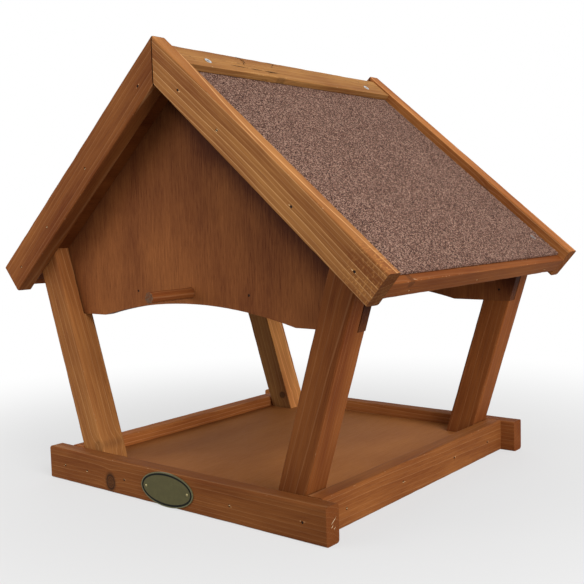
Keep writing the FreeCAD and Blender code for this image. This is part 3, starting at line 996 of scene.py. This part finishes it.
def make_barges(settings):
    """Barge boards along the four sloping edges of the roof, with a painted highlight on the upper edge,
    painted shade on the underside, and the right boards' lower ends darker.
    """
    left, right = slope_down("left"), slope_down("right")
    over, under = slope_inward("left"), slope_inward("right")
    # Faces: painted shade on the undersides, a painted highlight on the upper edges, darker lower ends on
    # the right.
    boards = {
        "barge_front_left": Timber(left, BACK, (0.045, 0.014), 0.03, -0.1, (0.78, 0.95), 0.4,
                                   faces=((over, 0.72), (-over, 1.4))),
        "barge_front_right": Timber(right, BACK, (-0.06, -0.012), 0.02, 0.42, (1.22, 1.06), 0.8,
                                    ((0, 0, 0.09, 0.05, 0),), 0.13,
                                    faces=((right, 0.5), (-under, 1.3), (under, 0.8))),
        "barge_rear_left": Timber(left, BACK, (-0.05, 0.02), -0.03, 0, 1, 0.5,
                                  faces=((over, 0.75), (-over, 1.4))),
        "barge_rear_right": Timber(right, BACK, (0.05, -0.024), 0.05, 0.15, 1.2, 0.5,
                                   ((0.05, -0.004, 0.006, 0.005, 0.7),),
                                   faces=((right, 0.7), (-under, 1.35), (under, 0.8))),
    }
    for node, stock in boards.items():
        dress_pine(settings, node, stock, mitre=RIGHT)


def make_strips(settings):
    """Ridge battens and eave strips, with painted shade on the faces that look down the slope."""
    for side in SIDES:
        down = slope_down(side)
        # The faces that look down the slope get painted shade.
        batten = Timber(BACK, slope_inward(side), (0.03, 0.028), 0.02, 0.68, 1.32, 0.3,
                        ((-0.037, 0.0175, 0.006, 0.0025, 0.4),), cracks=0.6, faces=((down, 0.8),))
        dress_pine(settings, f"ridge_batten_{side}", batten)
        eave = Timber(BACK, down, (0.04, 0.026), -0.03, -0.35, 0.86, 0.25,
                      ((-0.155, 0.006, 0.004, 0.004, 0.5),), faces=((down, 0.85),))
        dress_pine(settings, f"eave_strip_{side}", eave)


def make_marks(settings):
    """Hair cracks along the right ridge batten, scratches on the front rail's end, chips by the eave."""
    timber = settings.timber
    down, inward = slope_down("right"), slope_inward("right")
    groups = (
        ("hair_cracks", "ridge_batten_right", Timber(BACK, inward), -inward, CRACKS, timber.crack),
        ("end_scratches", "front_rail", Timber(RIGHT, BACK), RIGHT, SCRATCHES, timber.bare),
        ("eave_chips", "eave_strip_right", Timber(BACK, down), -inward, CHIPS, timber.chip),
    )
    for name, node, stock, outward, lines, colour in groups:
        stock.measure(part(node).data.vertices)
        work = bmesh.new()
        for width, *line in lines:
            for start, end in zip(line, line[1:]):
                ends = [stock.world(Vector(p) * MM) + outward * MARK_RISE for p in (start, end)]
                sliver(work, *ends, width * MM, outward, MARK_DEPTH)
        closed(name, work, material(plain_look, name, colour, 0.8), "stained_pine")


def make_plate(settings):
    """The oval plate, bare, with a dark line laid into its border, and its two pins."""
    metal = settings.metal
    low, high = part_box("oval_plate")
    middle = tuple((a + b) / 2 for a, b in zip(low, high))
    half = [(high[i] - low[i]) / 2 for i in (0, 2)]
    finish_node("oval_plate", material(plate_look, "plate_brass_aged", metal, middle, half))
    finish_node("plate_pins", material(metal_look, "pin_brass", metal.pin, 0.3, 0.9, 0.3))
    outer = [h - metal.border_inset for h in half]
    inner = [h - metal.border_width for h in outer]
    work = bmesh.new()
    ring(work, outer, inner, low[1] - metal.border_proud, low[1] + metal.border_depth)
    bmesh.ops.translate(work, verts=work.verts, vec=(middle[0], 0, middle[2]))
    closed("plate_border", work, material(plain_look, "enamel", metal.enamel, 0.35), "plate_brass")


def finish_node(node, look):
    """Give a node that stays as it is a better material."""
    for slot in part(node).material_slots:
        slot.material = look


def make_fasteners(settings):
    """Nails and screws, dark slivers in the screw recesses as painted shade, and the splinters that the
    nails tore up beside their holes.
    """
    metal = settings.metal
    zinc = material(metal_look, "zinc_plate", metal.zinc, 0.32, 1.0, 0.35)
    dull_nail_and_recess_shade = material(plain_look, "nail_dull", metal.nail, 0.6)
    for node in (*ROOF_SCREWS, "post_screws"):
        finish_node(node, zinc)
    for node in (*SHOWN_NAILS, *HIDDEN_NAILS):
        finish_node(node, dull_nail_and_recess_shade)
    work = bmesh.new()
    # Painted shade: two dark slivers across each roof screw's recess.
    for head, inward in [f for node in ROOF_SCREWS for f in fasteners(node)]:
        place = head + inward * RECESS_SINK
        for direction in (BACK, BACK.cross(inward)):
            reach = direction * RECESS_REACH
            sliver(work, place - reach, place + reach, RECESS_WIDTH, -inward, RECESS_SINK)
    closed("screw_recess_painted_shade", work, dull_nail_and_recess_shade, "steel")
    rng = random.Random(metal.seed)
    work = bmesh.new()
    for node in SHOWN_NAILS:
        for head, inward in fasteners(node):
            direction = grain_round(node, head)
            direction = (direction - inward * direction.dot(inward)).normalized()
            surface = head - inward * metal.nail_sink
            for _ in range(2):
                length = rng.uniform(0.6, 1.5) * metal.splinter
                aside = direction.cross(inward) * rng.uniform(-1.1, 1.1) * MM
                start = surface + direction * (NAIL_RADIUS * rng.choice((-1, 1))) + aside
                end = start + direction * length * rng.choice((-1, 1))
                sliver(work, start, end, rng.uniform(0.5, 1.0) * MM, -inward, SPLINTER_DEPTH)
    closed("nail_splinters", work, material(plain_look, "bare_wood", metal.bare_wood, 0.8), "stained_pine")


def grain_round(node, head):
    """The way of the grain in the wood that a nail goes through."""
    if node == "corner_nails":
        return RIGHT
    if node == "eave_nails":
        return BACK
    if node == "barge_nails":
        return slope_down("right" if head.x > 0 else "left")
    low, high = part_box("left_rail")
    return BACK if low[1] < head.y < high[1] else RIGHT


# Stage


def add_lamp(name, place, size, power, target=LAMP_TARGET, mirrored=True):
    """Add one large soft lamp that looks at a point."""
    data = bpy.data.lights.new(name, "AREA")
    data.shape = "SQUARE"
    data.size = size
    data.energy = power
    lamp = bpy.data.objects.new(name, data)
    lamp.location = place
    lamp.rotation_euler = (Vector(target) - lamp.location).to_track_quat("-Z", "Y").to_euler()
    lamp.visible_glossy = mirrored
    bpy.context.scene.collection.objects.link(lamp)


def seen_directly(look):
    """1 for rays from the camera, mirrors and glass, and 0 for the rest."""
    path = look.add("ShaderNodeLightPath").socket.node
    camera, glossy, clear = [Value(look, path.outputs[name]) for name in
                             ("Is Camera Ray", "Is Glossy Ray", "Is Transmission Ray")]
    return camera.most(glossy).most(clear)


def floor_look(name, settings):
    """A pale floor that fades into the white background away from the object."""
    look = new_look(name)
    place = look.place()
    speck = look.cloud(place, (9, 9, 9))
    matt = look.add("ShaderNodeBsdfPrincipled", None, {
        "Base Color": look.shaded(settings.floor_tint, speck * 0.02 + 0.99), "Roughness": 0.9,
        "Specular IOR Level": 0.1})
    glow = look.add("ShaderNodeEmission", None, {"Color": (1, 1, 1, 1), "Strength": 1.0})
    fade = look.vectors("LENGTH", place).step(settings.fade_start, settings.fade_end)
    fade = (fade * (1 - settings.floor_glow) + settings.floor_glow) * seen_directly(look)
    return look.close(look.add("ShaderNodeMixShader", None, {0: fade, 1: matt, 2: glow}))


def make_world(settings):
    """Even light from all round, with a white background."""
    look = Look(bpy.data.worlds.new("soft_studio"))
    strength = seen_directly(look) * (1 - settings.sky) + settings.sky
    background = look.add("ShaderNodeBackground", None, {"Color": (1, 1, 1, 1), "Strength": strength})
    bpy.context.scene.world = look.close(background, "World")


def make_camera(settings):
    """The camera, level with the tray and to the right of the front."""
    data = bpy.data.cameras.new("camera")
    data.lens = settings.camera_lens
    data.sensor_width = data.sensor_height = FILM
    data.clip_start = NEAREST
    camera = bpy.data.objects.new("camera", data)
    yaw, pitch, roll = settings.camera_yaw, settings.camera_pitch, settings.camera_roll
    turn = Matrix.Rotation(yaw, 4, "Z") @ Matrix.Rotation(math.pi / 2 + pitch, 4, "X")
    turn = turn @ Matrix.Rotation(roll, 4, "Z")
    camera.matrix_world = Matrix.Translation(settings.camera_place) @ turn
    bpy.context.scene.collection.objects.link(camera)
    bpy.context.scene.camera = camera


def make_stage(settings):
    """Floor, world, lamps and camera."""
    stage = settings.stage
    half = stage.floor_size / 2
    mesh = bpy.data.meshes.new("floor")
    mesh.from_pydata([(-half, -half, 0), (half, -half, 0), (half, half, 0), (-half, half, 0)], [],
                     [(0, 1, 2, 3)])
    mesh.materials.append(material(floor_look, "stage_floor", stage))
    floor = bpy.data.objects.new("stage_floor", mesh)
    bpy.context.scene.collection.objects.link(floor)
    make_world(stage)
    add_lamp("key", (2.1, -0.7, 1.5), 1.3, stage.key)
    add_lamp("fill", (-0.8, -1.3, 0.7), 1.0, stage.fill)
    add_lamp("side", (2.3, -0.5, 0.4), 0.8, stage.side, (0, 0, 0.12), mirrored=False)
    add_lamp("back", (-1.5, 2.1, 1.1), 1.6, stage.back, mirrored=False)
    make_camera(stage)
    bpy.context.scene.view_settings.view_transform = "Standard"


# Operators and panel


class BIRDTABLE_OT_rails(Operator):
    """Dress the four rails of the base in stained pine"""

    bl_idname = "birdtable.rails"
    bl_label = "Rails"

    def execute(self, context):
        make_rails(context.scene.bird_table)
        return {"FINISHED"}


class BIRDTABLE_OT_floor(Operator):
    """Dress the tray's floor in plywood"""

    bl_idname = "birdtable.floor"
    bl_label = "Floor"

    def execute(self, context):
        make_floor(context.scene.bird_table)
        return {"FINISHED"}


class BIRDTABLE_OT_posts(Operator):
    """Dress the four leaning posts in stained pine"""

    bl_idname = "birdtable.posts"
    bl_label = "Posts"

    def execute(self, context):
        make_posts(context.scene.bird_table)
        return {"FINISHED"}


class BIRDTABLE_OT_gables(Operator):
    """Dress the two gables in plywood"""

    bl_idname = "birdtable.gables"
    bl_label = "Gables"

    def execute(self, context):
        make_gables(context.scene.bird_table)
        return {"FINISHED"}


class BIRDTABLE_OT_perch(Operator):
    """Dress the perch and its bearer"""

    bl_idname = "birdtable.perch"
    bl_label = "Perch"

    def execute(self, context):
        make_perch(context.scene.bird_table)
        return {"FINISHED"}


class BIRDTABLE_OT_roof_boards(Operator):
    """Dress the roof boards and rafters in stained pine"""

    bl_idname = "birdtable.roof_boards"
    bl_label = "Roof boards"

    def execute(self, context):
        make_roof_boards(context.scene.bird_table)
        return {"FINISHED"}


class BIRDTABLE_OT_felt(Operator):
    """Lay mineral felt on both slopes"""

    bl_idname = "birdtable.felt"
    bl_label = "Felt"

    def execute(self, context):
        make_felt(context.scene.bird_table)
        return {"FINISHED"}


class BIRDTABLE_OT_barges(Operator):
    """Dress the four barge boards in stained pine"""

    bl_idname = "birdtable.barges"
    bl_label = "Barge boards"

    def execute(self, context):
        make_barges(context.scene.bird_table)
        return {"FINISHED"}


class BIRDTABLE_OT_strips(Operator):
    """Dress the ridge battens and eave strips in stained pine"""

    bl_idname = "birdtable.strips"
    bl_label = "Battens and strips"

    def execute(self, context):
        make_strips(context.scene.bird_table)
        return {"FINISHED"}


class BIRDTABLE_OT_marks(Operator):
    """Add the hair cracks, scratches and chips of the wood"""

    bl_idname = "birdtable.marks"
    bl_label = "Cracks, scratches and chips"

    def execute(self, context):
        make_marks(context.scene.bird_table)
        return {"FINISHED"}


class BIRDTABLE_OT_plate(Operator):
    """Finish the bare oval plate and its pins"""

    bl_idname = "birdtable.plate"
    bl_label = "Plate"

    def execute(self, context):
        make_plate(context.scene.bird_table)
        return {"FINISHED"}


class BIRDTABLE_OT_fasteners(Operator):
    """Finish nails and screws, with splinters beside the nails"""

    bl_idname = "birdtable.fasteners"
    bl_label = "Nails and screws"

    def execute(self, context):
        make_fasteners(context.scene.bird_table)
        return {"FINISHED"}


class BIRDTABLE_OT_stage(Operator):
    """Set up the floor, soft light and camera"""

    bl_idname = "birdtable.stage"
    bl_label = "Stage"

    def execute(self, context):
        make_stage(context.scene.bird_table)
        return {"FINISHED"}


OPERATORS = (
    BIRDTABLE_OT_rails, BIRDTABLE_OT_floor, BIRDTABLE_OT_posts, BIRDTABLE_OT_gables, BIRDTABLE_OT_perch,
    BIRDTABLE_OT_roof_boards, BIRDTABLE_OT_felt, BIRDTABLE_OT_barges, BIRDTABLE_OT_strips,
    BIRDTABLE_OT_marks, BIRDTABLE_OT_plate, BIRDTABLE_OT_fasteners, BIRDTABLE_OT_stage,
)


class BIRDTABLE_PT_build(Panel):
    """Buttons for each group of pieces"""

    bl_idname = "BIRDTABLE_PT_build"
    bl_label = "Bird table"
    bl_space_type = "VIEW_3D"
    bl_region_type = "UI"
    bl_category = "Bird table"

    def draw(self, context):
        for operator in OPERATORS:
            self.layout.operator(operator.bl_idname)


CLASSES = (TimberSettings, PlywoodSettings, FeltSettings, MetalSettings, StageSettings, BirdTableSettings,
           *OPERATORS, BIRDTABLE_PT_build)


def register():
    for cls in CLASSES:
        bpy.utils.register_class(cls)
    bpy.types.Scene.bird_table = PointerProperty(type=BirdTableSettings)


def unregister():
    del bpy.types.Scene.bird_table
    for cls in reversed(CLASSES):
        bpy.utils.unregister_class(cls)


def main():
    register()
    for operator in OPERATORS:
        group, name = operator.bl_idname.split(".")
        getattr(getattr(bpy.ops, group), name)()
    bpy.context.view_layer.update()


if __name__ == "__main__":
    main()
